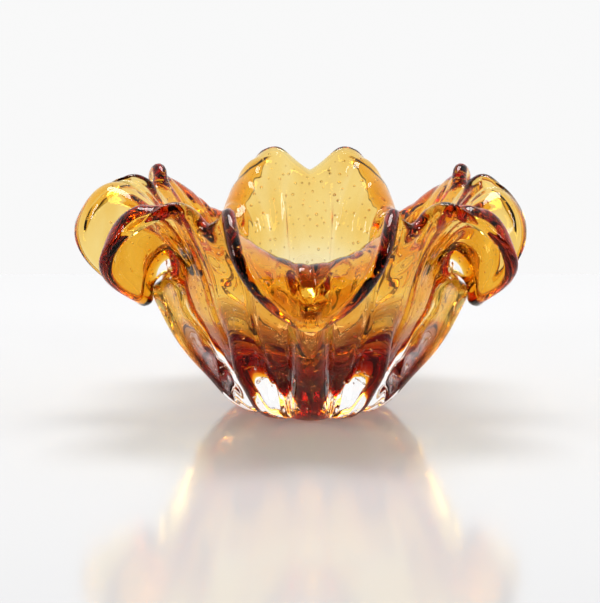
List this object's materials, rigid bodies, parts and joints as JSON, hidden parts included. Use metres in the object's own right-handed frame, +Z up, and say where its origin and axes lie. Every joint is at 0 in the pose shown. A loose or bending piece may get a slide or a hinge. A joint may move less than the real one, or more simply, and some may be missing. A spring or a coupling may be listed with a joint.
{
  "type": "art glass bowl",
  "caption": "Heavy art glass bowl: amber glass cased in clear crystal, with a ribbed body and a rim folded outward into drooping lobes.",
  "frame": {"origin": "centre of the flat foot, on the surface the bowl stands on", "axes": "+Z up; -Y towards the front lobe"},
  "size_m": [0.2001, 0.1841, 0.1035],
  "materials": {
    "clear_glass": "fire polished",
    "amber_glass": "fire polished, with trapped air bubbles"
  },
  "bodies": {
    "root": {"clear_casing": "clear_glass", "amber_bowl": "amber_glass"}
  },
  "joints": []
}
